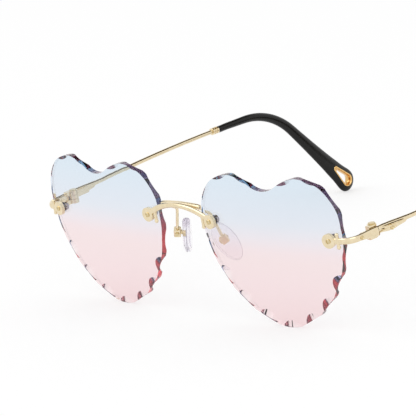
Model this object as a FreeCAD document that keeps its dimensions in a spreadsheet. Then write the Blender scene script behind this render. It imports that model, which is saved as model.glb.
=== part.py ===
import FreeCAD, Part
import math
import os
from types import SimpleNamespace

import Sketcher

# Rimless sunglasses with scalloped heart lenses, in millimetres.
# They are drawn as worn, temples level, and then tipped forward onto the lens bottoms and temple tips.
# Left is the wearer's left, +X. The right side is its mirror image.

Vector = FreeCAD.Vector
Placement = FreeCAD.Placement
Rotation = FreeCAD.Rotation
X_AXIS = Vector(1, 0, 0)
Y_AXIS = Vector(0, 1, 0)
Z_AXIS = Vector(0, 0, 1)
ORIGIN = Vector(0, 0, 0)

SIZES = {
    # Lens outline, curve and facets
    "lens_width": 60.2,
    "lens_height": 51.7,
    "lens_gap": 21.2,
    "lobe_radius": 15.25,
    "side_radius": 36.75,
    "notch_radius": 10.55,
    "point_radius": 12.25,
    "base_curve_radius": 265.0,
    "lens_thickness": 2.0,
    "lens_clearance": 0.15,
    "scallop_count": 18,
    "scallop_bite": 0.35,
    "facet_width": 2.9,
    "facet_slope_angle": 32.0,
    "facet_length": 7.8,
    "wrap_angle": 4.15,
    "face_tilt_angle": 2.08,
    # Lens holes and their fasteners
    "lens_hole_diameter": 2.0,
    "nasal_hole_edge": 4.45,
    "nasal_hole_rise": 9.5,
    "temporal_hole_edge": 4.95,
    "temporal_hole_rise": 6.1,
    "fit_clearance": 0.02,
    "sleeve_flange_diameter": 4.2,
    "sleeve_flange_thickness": 0.3,
    "lens_screw_diameter": 1.2,
    "lens_screw_head_diameter": 1.7,
    "lens_screw_head_height": 0.35,
    "lens_screw_point": 0.3,
    "washer_diameter": 3.2,
    "washer_thickness": 0.3,
    "nut_diameter": 2.8,
    "nut_height": 1.4,
    "nut_dome": 0.5,
    # Lugs on the lens fronts
    "lug_diameter": 4.8,
    "lug_thickness": 1.1,
    "claw_reach": 3.4,
    "claw_spread": 2.1,
    "claw_diameter": 1.1,
    "claw_ball_diameter": 1.35,
    # Bridge
    "bridge_rise": 4.4,
    "bridge_end_height": 2.0,
    "bridge_end_depth": 1.1,
    "bridge_mid_height": 1.8,
    "bridge_mid_depth": 2.0,
    "back_bar_reach": 9.6,
    "back_bar_height": 1.6,
    "back_bar_depth": 1.8,
    "back_bar_setback": 1.9,
    "back_bar_rise": 13.3,
    "back_bar_arch": 0.5,
    "arm_root_drop": 0.5,
    # Endpieces
    "endpiece_neck_height": 2.0,
    "endpiece_neck_depth": 1.1,
    "endpiece_bend_height": 2.2,
    "endpiece_bend_depth": 1.4,
    "endpiece_bend_radius": 4.5,
    "endpiece_edge_gap": 3.15,
    "hinge_setback": 15.1,
    "hinge_rise": 5.9,
    # Temples
    "temple_splay_angle": 3.65,
    "temple_lift_angle": 2.45,
    "temple_bow_radius": 843.0,
    "seam_gap": 0.15,
    "plaque_height": 3.2,
    "plaque_depth": 1.6,
    "upper_strand_height": 2.0,
    "upper_strand_lift": 0.6,
    "lower_strand_height": 1.7,
    "lower_strand_drop": 0.75,
    "lower_strand_length": 12.5,
    "rivet_pit_radius": 0.5,
    "rivet_pit_depth": 0.35,
    "rivet_pit_drop": 0.5,
    "front_rivet_reach": 5.8,
    "temple_rivet_reach": 6.9,
    "plaque_length": 17.0,
    "rod_diameter": 1.5,
    "rod_length": 75.0,
    "core_diameter": 1.1,
    "core_end_margin": 19.0,
    # Ferrules
    "ferrule_length": 2.9,
    "ferrule_diameter": 2.5,
    "ferrule_groove_depth": 0.2,
    "ferrule_groove_width": 0.35,
    # Temple tips
    "tip_lead": 14.5,
    "tip_bend_radius": 33.5,
    "tip_bend_angle": 45.4,
    "tip_straight": 40.1,
    "tip_start_width": 2.4,
    "tip_start_depth": 2.3,
    "tip_paddle_width": 8.4,
    "tip_paddle_depth": 3.0,
    "tip_clearance": 0.05,
    # Eyelets
    "eyelet_length": 11.4,
    "eyelet_round_diameter": 4.8,
    "eyelet_point_diameter": 1.9,
    "eyelet_hole_length": 6.4,
    "eyelet_hole_width": 2.4,
    "eyelet_hole_point": 0.9,
    "eyelet_hole_margin": 1.1,
    "eyelet_depth": 3.3,
    "eyelet_end_margin": 2.2,
    # Hinges
    "barrel_diameter": 3.0,
    "barrel_height": 4.4,
    "middle_knuckle_height": 1.3,
    "knuckle_gap": 0.1,
    "hinge_gap": 0.25,
    "hinge_seat": 0.55,
    "leaf_height": 2.2,
    "leaf_thickness": 1.0,
    "leaf_overlap": 1.0,
    "front_leaf_length": 4.2,
    "temple_leaf_length": 6.2,
    "hinge_pin_diameter": 1.2,
    "hinge_pin_clearance": 0.05,
    "hinge_pin_head_diameter": 2.2,
    "hinge_pin_head_height": 0.4,
    # Pad arms, boxes and pads
    "arm_diameter": 1.0,
    "arm_root_reach": 8.6,
    "arm_setback": 5.7,
    "arm_corner_drop": 3.0,
    "arm_bend_radius": 2.0,
    "pad_pivot_reach": 12.0,
    "pad_pivot_setback": 6.7,
    "pad_pivot_rise": 0.8,
    "pad_splay_angle": 37.0,
    "pad_flare_angle": 3.0,
    "pad_sweep_angle": 8.4,
    "box_height": 3.0,
    "box_top_wall": 0.4,
    "box_rounding": 0.45,
    "box_width": 2.6,
    "box_depth": 2.4,
    "box_back_wall": 0.5,
    "tab_width": 1.2,
    "tab_thickness": 0.9,
    "tab_clearance": 0.15,
    "tab_foot_diameter": 2.8,
    "tab_foot_thickness": 0.6,
    "pad_screw_diameter": 0.8,
    "pad_screw_head_diameter": 1.5,
    "pad_screw_head_height": 0.35,
    "pad_standoff": 0.65,
    "pad_length": 14.2,
    "pad_width": 6.8,
    "pad_thickness": 2.6,
    "pad_rounding": 1.0,
    "pad_drop": 1.4,
    "pad_skin": 0.4,
    # Overrun of every cut
    "cut_overrun": 3.0,
}

doc = FreeCAD.newDocument("heart_sunglasses")


def write_sheet():
    """Puts every driving size in the sheet and returns the sheet."""
    table = doc.addObject("Spreadsheet::Sheet", "sizes")
    for row, (name, value) in enumerate(SIZES.items(), start=1):
        table.set("A%d" % row, name)
        table.set("B%d" % row, str(value))
        table.setAlias("B%d" % row, name)
    doc.recompute()
    return table


sheet = write_sheet()
size = SimpleNamespace(**{name: float(sheet.get(name)) for name in SIZES})


# Document helpers

def solid(kind, label, place, **expressions):
    """A primitive whose sizes follow the sheet."""
    made = doc.addObject(kind, label)
    for name, text in expressions.items():
        made.setExpression(name, text)
    made.Placement = place
    return made


def block(label, place, start, spans):
    """A box from a corner, both in expressions of the sheet, in the frame of place."""
    made = doc.addObject("Part::Box", label)
    for name, text in zip(("Length", "Width", "Height"), spans):
        made.setExpression(name, text)
    corner = Vector(*(float(sheet.evalExpression(text)) for text in start))
    made.Placement = place.multiply(Placement(corner, Rotation()))
    return made


def fused(label, pieces):
    made = doc.addObject("Part::MultiFuse", label)
    made.Shapes = pieces
    return made


def cut(label, base, tools):
    tool = tools[0] if len(tools) == 1 else fused(label + "_tools", tools)
    made = doc.addObject("Part::Cut", label)
    made.Base = base
    made.Tool = tool
    return made


def shaped(label, shape):
    """A piece whose form is lofted or ground from named sizes."""
    made = doc.addObject("Part::Feature", label)
    made.Shape = shape
    return made


def rounded_edges(label, base, radius, edges):
    """Rounds some edges of a piece."""
    made = doc.addObject("Part::Fillet", label)
    made.Base = base
    made.Edges = [(index, radius, radius) for index, edge in enumerate(base.Shape.Edges, start=1)
                  if any(edge.isSame(wanted) for wanted in edges)]
    return made


def mirrored(label, source):
    made = doc.addObject("Part::Mirroring", label)
    made.Source = source
    made.Normal = X_AXIS
    return made


def turned(label, place, profile):
    """A piece turned about its own Z axis; the profile is (radius, height) in expressions of the sheet."""
    body = doc.addObject("PartDesign::Body", label)
    sketch = body.newObject("Sketcher::SketchObject", label + "_profile")
    plane = next(item for item in body.Origin.OriginFeatures if item.Role == "XZ_Plane")
    sketch.AttachmentSupport = [(plane, "")]
    sketch.MapMode = "FlatFace"
    points = [Vector(*(float(sheet.evalExpression(text)) for text in pair), 0) for pair in profile]
    count = len(points)
    for index, point in enumerate(points):
        sketch.addGeometry(Part.LineSegment(point, points[(index + 1) % count]))
    for index in range(count):
        sketch.addConstraint(Sketcher.Constraint("Coincident", index, 2, (index + 1) % count, 1))
    for index, pair in enumerate(profile):
        for kind, text, value in zip(("DistanceX", "DistanceY"), pair, points[index]):
            place_in_list = sketch.addConstraint(Sketcher.Constraint(kind, -1, 1, index, 1, value))
            sketch.setExpression("Constraints[%d]" % place_in_list, text)
    lathe = body.newObject("PartDesign::Revolution", label + "_turning")
    lathe.Profile = sketch
    lathe.ReferenceAxis = (sketch, ["V_Axis"])
    body.Placement = place
    return body


def axes(origin, x_axis, z_axis):
    """A placement at origin with its Z along z_axis and its X as near x_axis as that allows."""
    return Placement(origin, Rotation(x_axis, ORIGIN, z_axis, "ZXY"))


def oval(width, depth, place):
    """An oval wire, width along the X of place and depth along its Y."""
    matrix = FreeCAD.Matrix()
    matrix.scale(width / 2, depth / 2, 1)
    wire = Part.Wire([Part.Circle().toShape()]).transformGeometry(matrix)
    wire.Placement = place
    return wire


def loft(sections):
    return Part.makeLoft([oval(*section) for section in sections], True)


def between(first, last, share):
    return first + (last - first) * share


def ease(share):
    """A smooth start and end for a taper."""
    return share * share * (3 - 2 * share)


def polar(angle):
    return Vector(math.cos(angle), math.sin(angle), 0)


def heading(vector):
    return math.atan2(vector.y, vector.x)


# Lens outline: half a heart is a point arc, a side arc, a lobe arc and half of the notch arc, all tangent.

def half_heart():
    """The four arcs from the point up to the notch, as (centre, radius, first angle, last angle)."""
    point = Vector(0, size.point_radius - size.lens_height / 2, 0)
    lobe = Vector(size.lens_width / 2 - size.lobe_radius, size.lens_height / 2 - size.lobe_radius, 0)
    to_lobe = size.side_radius - size.lobe_radius
    to_point = size.side_radius - size.point_radius
    base = point - lobe
    along = (to_lobe ** 2 - to_point ** 2 + base.Length ** 2) / (2 * base.Length)
    across = math.sqrt(to_lobe ** 2 - along ** 2)
    unit = base / base.Length
    side = lobe + unit * along + Vector(unit.y, -unit.x, 0) * across
    reach = size.lobe_radius + size.notch_radius
    notch = Vector(0, lobe.y + math.sqrt(reach ** 2 - lobe.x ** 2), 0)
    low = heading(point - side)
    high = heading(lobe - side)
    top = heading(notch - lobe)
    return [
        (point, size.point_radius, -math.pi / 2, low),
        (side, size.side_radius, low, high),
        (lobe, size.lobe_radius, high, top),
        (notch, size.notch_radius, top - math.pi, -math.pi / 2),
    ]


HEART = half_heart()
HALF_PERIMETER = sum(radius * abs(last - first) for _, radius, first, last in HEART)


def heart_point(distance):
    """The point of the smooth heart at a distance along it from its lowest point."""
    run = distance % (2 * HALF_PERIMETER)
    flip = run > HALF_PERIMETER
    left = 2 * HALF_PERIMETER - run if flip else run
    for centre, radius, first, last in HEART:
        length = radius * abs(last - first)
        if left <= length:
            break
        left -= length
    else:
        left = length
    turn = math.copysign(min(left / radius, abs(last - first)), last - first)
    found = centre + polar(first + turn) * radius
    return Vector(-found.x, found.y, 0) if flip else found


# Width of the facets, as shares of the widest, from the point of the heart round to its plain notch
FACET_SHARES = (0.76, 0.82, 0.9, 1, 0.4, 0.4, 0.4, 0.45, 0.45, 0)


def scallops():
    """Each scallop as (start ridge, lowest point of the bite, end ridge, outward direction, facet share)."""
    count = int(size.scallop_count)
    pitch = 2 * HALF_PERIMETER / count
    found = []
    for index in range(count):
        start = heart_point((index - 0.5) * pitch)
        end = heart_point((index + 0.5) * pitch)
        chord = end - start
        outward = Vector(chord.y, -chord.x, 0).normalize()
        way_round = 2 * min(index, count - index) / count
        share = FACET_SHARES[round(way_round * (len(FACET_SHARES) - 1))]
        bite = heart_point(index * pitch) - outward * size.scallop_bite * share
        found.append((start, bite, end, outward, share))
    return found


SCALLOPS = scallops()
BACK_RADIUS = size.base_curve_radius - size.lens_thickness
CURVE_CENTRE = Vector(0, 0, -size.base_curve_radius)


def on_curve(flat, radius):
    """The point of a lens face over a point of the flat outline."""
    return CURVE_CENTRE + Vector(flat.x, flat.y, math.sqrt(radius ** 2 - flat.x ** 2 - flat.y ** 2))


LENS = Placement(
    Vector((size.lens_gap + size.lens_width) / 2, 0, 0),
    Rotation(X_AXIS, size.face_tilt_angle) * Rotation(Z_AXIS, size.wrap_angle) * Rotation(X_AXIS, 90),
)


def hole_frame(across, rise):
    """A frame on the lens front with Z out of the lens and X to the temple side."""
    spot = on_curve(Vector(across, rise, 0), size.base_curve_radius)
    return LENS.multiply(axes(spot, X_AXIS, spot - CURVE_CENTRE))


NASAL = hole_frame(size.nasal_hole_edge - size.lens_width / 2, size.nasal_hole_rise)
TEMPORAL = hole_frame(size.lens_width / 2 - size.temporal_hole_edge, size.temporal_hole_rise)
HOLES = {"nasal": NASAL, "temporal": TEMPORAL}


def shift(frame, x=0, y=0, z=0):
    return frame.multiply(Placement(Vector(x, y, z), Rotation()))


def grinding_wheel(start, bite, end, outward, share):
    """The cylinder that grinds one petal shaped facet from the back face out to the rim."""
    back = on_curve(bite, BACK_RADIUS)
    behind = (CURVE_CENTRE - back).normalize()
    out = (outward - behind * outward.dot(behind)).normalize()
    slope = math.radians(size.facet_slope_angle)
    lift = out * math.sin(slope) + behind * math.cos(slope)
    inward = behind * math.sin(slope) - out * math.cos(slope)
    width = size.facet_width * share
    run = width / math.cos(slope)
    bulge = (bite - (start + end) / 2).dot(outward)
    bend = 2 * bulge / (((end - start).Length / 2) ** 2 + bulge ** 2)
    radius = 1 / (2 * math.sin(slope) * (width / (size.facet_length / 2) ** 2 - bend / 2))
    middle = back - out * width + lift * radius
    foot = middle - inward * (run + size.cut_overrun)
    return Part.makeCylinder(radius, run + 2 * size.cut_overrun, foot, inward)


def ball(radius):
    """A ball about the curve centre, turned so that its poles stay off the lens."""
    made = Part.makeSphere(radius)
    made.Placement = Placement(CURVE_CENTRE, Rotation(X_AXIS, 90))
    return made


def curved_slab(edges, margin):
    """The lens curve inside an outline, thicker on both faces by a margin."""
    widest = max(start.Length for start, *_ in SCALLOPS)
    depth = size.base_curve_radius - math.sqrt(BACK_RADIUS ** 2 - widest ** 2) + size.cut_overrun
    slab = Part.Face(Part.Wire(edges)).extrude(Vector(0, 0, depth + 2 * size.cut_overrun))
    slab.translate(Vector(0, 0, -depth))
    return slab.common(ball(size.base_curve_radius + margin)).cut(ball(BACK_RADIUS - margin))


def lens_room():
    """The room round a smooth lens that the pieces beside it keep clear of."""
    edges = []
    for flip in (1, -1):
        for centre, radius, first, last in HEART:
            reach = radius + math.copysign(size.lens_clearance, last - first)
            spots = [centre + polar(angle) * reach for angle in (first, (first + last) / 2, last)]
            edges.append(Part.Arc(*(Vector(flip * spot.x, spot.y, 0) for spot in spots)).toShape())
    return curved_slab(Part.sortEdges(edges)[0], size.lens_clearance)


def lens_shape():
    arcs = [Part.Arc(start, bite, end).toShape() for start, bite, end, _, _ in SCALLOPS]
    blank = curved_slab(arcs, 0)
    wheels = [grinding_wheel(*scallop) for scallop in SCALLOPS if scallop[-1] > 0]
    ground = blank.cut(wheels)
    drills = []
    for frame in HOLES.values():
        local = LENS.inverse().multiply(frame)
        foot = local.multVec(Vector(0, 0, -size.lens_thickness - size.cut_overrun))
        axis = local.Rotation.multVec(Z_AXIS)
        length = size.lens_thickness + 2 * size.cut_overrun
        drills.append(Part.makeCylinder(size.lens_hole_diameter / 2, length, foot, axis))
    return ground.cut(drills).Solids[0]


# Fasteners through the lenses, measured along each hole from the lens front

SEAT = "(sizes.washer_diameter ^ 2 / 8 / (sizes.base_curve_radius - sizes.lens_thickness))"
FASTENERS = {
    "lens_sleeve": (
        "-sizes.lens_thickness",
        [
            ("sizes.lens_screw_diameter / 2 + sizes.fit_clearance", "0"),
            ("sizes.lens_hole_diameter / 2 - sizes.fit_clearance", "0"),
            ("sizes.lens_hole_diameter / 2 - sizes.fit_clearance", "sizes.lens_thickness"),
            ("sizes.sleeve_flange_diameter / 2", "sizes.lens_thickness"),
            ("sizes.sleeve_flange_diameter / 2", "sizes.lens_thickness + sizes.sleeve_flange_thickness"),
            ("sizes.lens_screw_diameter / 2 + sizes.fit_clearance",
             "sizes.lens_thickness + sizes.sleeve_flange_thickness"),
        ],
    ),
    "lens_washer": (
        "-sizes.lens_thickness - sizes.washer_thickness - " + SEAT,
        [
            ("sizes.lens_screw_diameter / 2 + sizes.fit_clearance", "0"),
            ("sizes.washer_diameter / 2", "0"),
            ("sizes.washer_diameter / 2", "sizes.washer_thickness"),
            ("sizes.lens_screw_diameter / 2 + sizes.fit_clearance", "sizes.washer_thickness"),
        ],
    ),
    "lens_nut": (
        "-sizes.lens_thickness - sizes.washer_thickness - sizes.nut_height - " + SEAT,
        [
            ("sizes.lens_screw_diameter / 2 + sizes.fit_clearance", "0"),
            ("sizes.nut_diameter / 2 - sizes.nut_dome", "0"),
            ("sizes.nut_diameter / 2", "sizes.nut_dome"),
            ("sizes.nut_diameter / 2", "sizes.nut_height"),
            ("sizes.lens_screw_diameter / 2 + sizes.fit_clearance", "sizes.nut_height"),
        ],
    ),
    "lens_screw": (
        "-sizes.lens_thickness - sizes.washer_thickness - sizes.nut_height"
        " - sizes.lens_screw_point - " + SEAT,
        [
            ("0", "0"),
            ("sizes.lens_screw_diameter / 2", "0"),
            ("sizes.lens_screw_diameter / 2", "{neck}"),
            ("sizes.lens_screw_head_diameter / 2", "{neck}"),
            ("sizes.lens_screw_head_diameter / 2", "{neck} + sizes.lens_screw_head_height"),
            ("0", "{neck} + sizes.lens_screw_head_height"),
        ],
    ),
}
SCREW_NECK = (
    "sizes.lens_thickness + sizes.washer_thickness + sizes.nut_height + sizes.lens_screw_point"
    " + sizes.sleeve_flange_thickness + sizes.lug_thickness + " + SEAT
)


def fastener_group(kind, label):
    """One fastener of a kind in each of the four lens holes, as one group."""
    foot, profile = FASTENERS[kind]
    filled = [(radius, height.format(neck=SCREW_NECK)) for radius, height in profile]
    members = []
    for name, frame in HOLES.items():
        seat = shift(frame, z=float(sheet.evalExpression(foot)))
        left = turned("%s_%s" % (kind, name), seat, filled)
        members += [left, mirrored("%s_%s_right" % (kind, name), left)]
    group = doc.addObject("Part::Compound", label)
    group.Links = members
    return group


# Lugs: a disc with a claw that grips the lens edge, seated on the sleeve flange

LUG_MIDDLE = size.sleeve_flange_thickness + size.lug_thickness / 2


def lug(label, frame, side):
    """The disc and the claw of one lug; side is 1 where the lens edge lies towards +X of the frame."""
    disc = solid("Part::Cylinder", label + "_disc", shift(frame, z=size.sleeve_flange_thickness),
                 Radius="sizes.lug_diameter / 2", Height="sizes.lug_thickness")
    middle = shift(frame, x=side * size.claw_reach, z=LUG_MIDDLE)
    upright = middle.multiply(Placement(Vector(0, -size.claw_spread, 0), Rotation(X_AXIS, -90)))
    bar = solid("Part::Cylinder", label + "_claw", upright,
                Radius="sizes.claw_diameter / 2", Height="2 * sizes.claw_spread")
    ends = [solid("Part::Sphere", "%s_claw_end_%s" % (label, name), shift(middle, y=way * size.claw_spread),
                  Radius="sizes.claw_ball_diameter / 2") for name, way in (("low", -1), ("high", 1))]
    return [disc, bar] + ends


def lug_hole(label, frame):
    return solid("Part::Cylinder", label, shift(frame, z=-size.cut_overrun),
                 Radius="sizes.lens_screw_diameter / 2 + sizes.fit_clearance",
                 Height="sizes.lug_thickness + 2 * sizes.cut_overrun")


# Bridge: a flat arch of oval section from lug to lug

BRIDGE_END = shift(NASAL, z=LUG_MIDDLE).Base
BRIDGE_RADIUS = (BRIDGE_END.x ** 2 + size.bridge_rise ** 2) / (2 * size.bridge_rise)
BRIDGE_STEPS = 8


def bridge_frame(angle):
    """A frame on the arch at an angle from its crown, with X up across the bar and Y along its depth."""
    centre = Vector(0, BRIDGE_END.y, BRIDGE_END.z + size.bridge_rise - BRIDGE_RADIUS)
    up = Vector(math.sin(angle), 0, math.cos(angle))
    return axes(centre + up * BRIDGE_RADIUS, up, Vector(math.cos(angle), 0, -math.sin(angle)))


def bridge_bar():
    reach = math.asin(BRIDGE_END.x / BRIDGE_RADIUS)
    sections = []
    for step in range(BRIDGE_STEPS + 1):
        share = 2 * step / BRIDGE_STEPS - 1
        swell = ease(1 - abs(share))
        sections.append((
            between(size.bridge_end_height, size.bridge_mid_height, swell),
            between(size.bridge_end_depth, size.bridge_mid_depth, swell),
            bridge_frame(share * reach),
        ))
    return loft(sections)


# The bar behind the arch, from its rounded end to its middle, as shares of its reach and of its thickness
BACK_BAR_SHARES = ((1, 0.3), (0.985, 0.62), (0.945, 0.88), (0.87, 1), (0.5, 1), (0, 1))


def back_bar_middle(reach):
    """The centre of the bar behind the arch at a distance to the left."""
    arch = size.back_bar_arch * (1 - (reach / size.back_bar_reach) ** 2)
    return Vector(reach, BRIDGE_END.y + size.back_bar_setback, size.back_bar_rise + arch)


def back_bar():
    right = [(-along, thick) for along, thick in BACK_BAR_SHARES]
    left = [(along, thick) for along, thick in reversed(BACK_BAR_SHARES[:-1])]
    rings = []
    for along, thick in right + left:
        frame = axes(back_bar_middle(size.back_bar_reach * along), Z_AXIS, X_AXIS)
        rings.append((size.back_bar_height * thick, size.back_bar_depth * thick, frame))
    return loft(rings)


def make_bridge(behind):
    bar = shaped("bridge_bar", bridge_bar())
    left = lug("bridge_lug", NASAL, -1)
    right = [mirrored(piece.Label + "_right", piece) for piece in left]
    hole = lug_hole("bridge_hole", NASAL)
    body = fused("bridge_body", [bar, behind] + left + right)
    return cut("bridge", body, [hole, mirrored("bridge_hole_right", hole)])


# Hinge line: the temple frame has X back along the temple, Y towards the head and Z up

LENS_EDGE = LENS.multVec(on_curve(Vector(size.lens_width / 2, size.hinge_rise, 0), size.base_curve_radius))
TEMPLE = Placement(
    Vector(
        LENS_EDGE.x + size.endpiece_edge_gap + size.plaque_depth / 2,
        size.hinge_setback,
        size.hinge_rise,
    ),
    Rotation(Z_AXIS, 90 - size.temple_splay_angle),
)
HINGE_OFFSET = size.hinge_seat + size.hinge_gap + size.barrel_diameter / 2


def seat_cut(label, start, length):
    """Mills the flat that a hinge leaf is soldered to."""
    return block(label, TEMPLE, (start, "sizes.hinge_seat", "-sizes.plaque_height"),
                 (length, "sizes.plaque_depth", "2 * sizes.plaque_height"))


def rivet_pit(label, along):
    """The small round pit over a hinge rivet, on the outer face of an endpiece or temple."""
    outward = size.plaque_depth / 2 + size.rivet_pit_radius - size.rivet_pit_depth
    return solid("Part::Sphere", label, shift(TEMPLE, along, -outward, -size.rivet_pit_drop),
                 Radius="sizes.rivet_pit_radius")


# Endpieces: from the lug straight past the lens edge, round a bend and back to the seam

BEND_STEP_SHARES = (0, 0.25, 0.5, 0.75, 1)


def endpiece_bar():
    start = shift(TEMPORAL, z=LUG_MIDDLE).Base
    leave = TEMPORAL.Rotation.multVec(X_AXIS)
    first = Vector(leave.x, leave.y, 0).normalize()
    last = TEMPLE.Rotation.multVec(X_AXIS)
    gap = TEMPLE.Base - start
    cross = first.x * last.y - first.y * last.x
    before = (gap.x * last.y - gap.y * last.x) / cross
    turn = math.acos(first.dot(last))
    tangent = size.endpiece_bend_radius * math.tan(turn / 2)
    enter = start + first * (before - tangent)
    centre = enter + Vector(-first.y, first.x, 0) * size.endpiece_bend_radius
    stations = [(start + (enter - start) * share, first, 0) for share in (0, 1 / 3, 2 / 3)]
    for share in BEND_STEP_SHARES:
        way = heading(first) + turn * share
        outside = Vector(math.sin(way), -math.cos(way), 0) * size.endpiece_bend_radius
        stations.append((centre + outside, polar(way), share))
    leaves = stations[-1][0]
    sections = []
    for spot, way, share in stations:
        height = between(size.endpiece_neck_height, size.endpiece_bend_height, share)
        depth = between(size.endpiece_neck_depth, size.endpiece_bend_depth, share)
        sections.append((height, depth, axes(Vector(spot.x, spot.y, start.z), Z_AXIS, way)))
    run = TEMPLE.Base - leaves
    for share in (0.25, 0.5, 0.75, 1):
        spot = leaves + run * share
        spot.z = between(start.z, TEMPLE.Base.z, ease(share))
        height = between(size.endpiece_bend_height, size.plaque_height, ease(share))
        depth = between(size.endpiece_bend_depth, size.plaque_depth, ease(share))
        sections.append((height, depth, axes(spot, Z_AXIS, last)))
    return loft(sections)


def make_endpiece():
    room = shaped("lens_room", lens_room())
    room.Placement = LENS
    bar = cut("endpiece_relief", shaped("endpiece_bar", endpiece_bar()), [room])
    body = fused("endpiece_body", [bar] + lug("endpiece_lug", TEMPORAL, 1))
    reach = "sizes.barrel_diameter / 2 + sizes.hinge_gap + sizes.front_leaf_length + sizes.knuckle_gap"
    seat = seat_cut("endpiece_seat", "-(%s)" % reach, reach + " + sizes.cut_overrun")
    pit = rivet_pit("endpiece_pit", -size.front_rivet_reach)
    return cut("endpiece_left", body, [seat, pit, lug_hole("endpiece_hole", TEMPORAL)])


# Hinges: three knuckles on one screw, the outer two on the front and the middle one on the temple

def knuckle(label, bottom, height):
    place = shift(TEMPLE, y=HINGE_OFFSET, z=float(sheet.evalExpression(bottom)))
    return solid("Part::Cylinder", label, place, Radius="sizes.barrel_diameter / 2", Height=height)


def hinge_bore(label):
    place = shift(TEMPLE, y=HINGE_OFFSET, z=-size.barrel_height)
    return solid("Part::Cylinder", label, place, Height="2 * sizes.barrel_height",
                 Radius="sizes.hinge_pin_diameter / 2 + sizes.hinge_pin_clearance")


CLEAR = "(sizes.barrel_diameter / 2 + sizes.hinge_gap)"
OUTER_FOOT = "(sizes.middle_knuckle_height / 2 + sizes.knuckle_gap)"
OUTER_HEIGHT = "sizes.barrel_height / 2 - " + OUTER_FOOT
NECK_DEPTH = "sizes.hinge_gap + sizes.barrel_diameter / 2"


def make_front_hinge():
    leaf = block("front_leaf", TEMPLE,
                 ("-sizes.front_leaf_length - " + CLEAR, "sizes.hinge_seat", "-sizes.leaf_height / 2"),
                 ("sizes.front_leaf_length", "sizes.leaf_thickness", "sizes.leaf_height"))
    pieces = [leaf]
    for name, bottom in (("low", "-sizes.barrel_height / 2"), ("high", OUTER_FOOT)):
        pieces.append(knuckle("front_knuckle_" + name, bottom, OUTER_HEIGHT))
        pieces.append(block("front_neck_" + name, TEMPLE,
                            ("-sizes.leaf_overlap - " + CLEAR, "sizes.hinge_seat", bottom),
                            ("sizes.leaf_overlap + " + CLEAR, NECK_DEPTH, OUTER_HEIGHT)))
    return cut("front_hinge_left", fused("front_hinge_body", pieces), [hinge_bore("front_hinge_bore")])


def make_temple_hinge():
    leaf = block("temple_leaf", TEMPLE, (CLEAR, "sizes.hinge_seat", "-sizes.leaf_height / 2"),
                 ("sizes.temple_leaf_length", "sizes.leaf_thickness", "sizes.leaf_height"))
    middle = knuckle("temple_knuckle", "-sizes.middle_knuckle_height / 2", "sizes.middle_knuckle_height")
    neck = block("temple_neck", TEMPLE,
                 ("sizes.seam_gap", "sizes.hinge_seat", "-sizes.middle_knuckle_height / 2"),
                 ("sizes.leaf_overlap - sizes.seam_gap + " + CLEAR, NECK_DEPTH,
                  "sizes.middle_knuckle_height"))
    return cut("temple_hinge_left", fused("temple_hinge_body", [leaf, middle, neck]),
               [hinge_bore("temple_hinge_bore")])


def make_hinge_screw():
    return turned("hinge_screw_left", shift(TEMPLE, y=HINGE_OFFSET, z=-size.barrel_height / 2), [
        ("0", "0"),
        ("sizes.hinge_pin_diameter / 2", "0"),
        ("sizes.hinge_pin_diameter / 2", "sizes.barrel_height"),
        ("sizes.hinge_pin_head_diameter / 2", "sizes.barrel_height"),
        ("sizes.hinge_pin_head_diameter / 2", "sizes.barrel_height + sizes.hinge_pin_head_height"),
        ("0", "sizes.barrel_height + sizes.hinge_pin_head_height"),
    ])


# Temples and tips: back in a slight bow, round the ear bend and straight down to the paddle

TEMPLE_LIFT = math.radians(size.temple_lift_angle)
BEND_START = size.rod_length + size.tip_lead
BEND_LENGTH = size.tip_bend_radius * math.radians(size.tip_bend_angle)
BEND_END = BEND_START + BEND_LENGTH
TEMPLE_PATH = BEND_END + size.tip_straight


def path_frame(distance):
    """A frame on the temple's centre line with Z along it, X up across it and Y to the head."""
    spot = Vector(0, 0, 0)
    turn = -TEMPLE_LIFT
    for radius, first, length in (
        (size.temple_bow_radius, 0, BEND_START),
        (size.tip_bend_radius, BEND_START, BEND_LENGTH),
    ):
        last = turn + min(max(distance - first, 0), length) / radius
        spot = spot + Vector(math.sin(last) - math.sin(turn), 0, math.cos(last) - math.cos(turn)) * radius
        turn = last
    way = Vector(math.cos(turn), 0, -math.sin(turn))
    spot = spot + way * max(distance - BEND_END, 0)
    return TEMPLE.multiply(axes(spot, Vector(math.sin(turn), 0, math.cos(turn)), way))


def arc_on_path(start, end):
    """The centre line between two distances on one of its curves."""
    return Part.Arc(*(path_frame(at).Base for at in (start, (start + end) / 2, end))).toShape()


def wire_along(diameter, start, edges):
    """A round wire along some edges of the centre line."""
    profile = oval(diameter, diameter, path_frame(start))
    return Part.Wire(edges).makePipeShell([profile], True, False)


def core_wire(diameter, end):
    """A round wire along the tip from the end of the rod."""
    straight = Part.LineSegment(path_frame(BEND_END).Base, path_frame(end).Base)
    edges = [arc_on_path(size.rod_length, BEND_START), arc_on_path(BEND_START, BEND_END), straight.toShape()]
    return wire_along(diameter, size.rod_length, edges)


CORE_END = TEMPLE_PATH - size.core_end_margin


# The short lower strand, from the seam to its rounded end, as shares of its length and of its thickness
LOWER_STRAND_SHARES = ((0, 1), (0.35, 0.96), (0.68, 0.84), (0.88, 0.62), (0.965, 0.38), (1, 0.14))
UPPER_STRAND_STEPS = 5


def upper_strand():
    """The strand that runs on as the rod."""
    sections = []
    for step in range(UPPER_STRAND_STEPS + 1):
        share = step / UPPER_STRAND_STEPS
        frame = path_frame(between(size.seam_gap, size.plaque_length, share))
        sections.append((
            between(size.upper_strand_height, size.rod_diameter, ease(share)),
            between(size.plaque_depth, size.rod_diameter, ease(share)),
            shift(frame, x=size.upper_strand_lift * (1 - ease(share))),
        ))
    return loft(sections)


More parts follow.
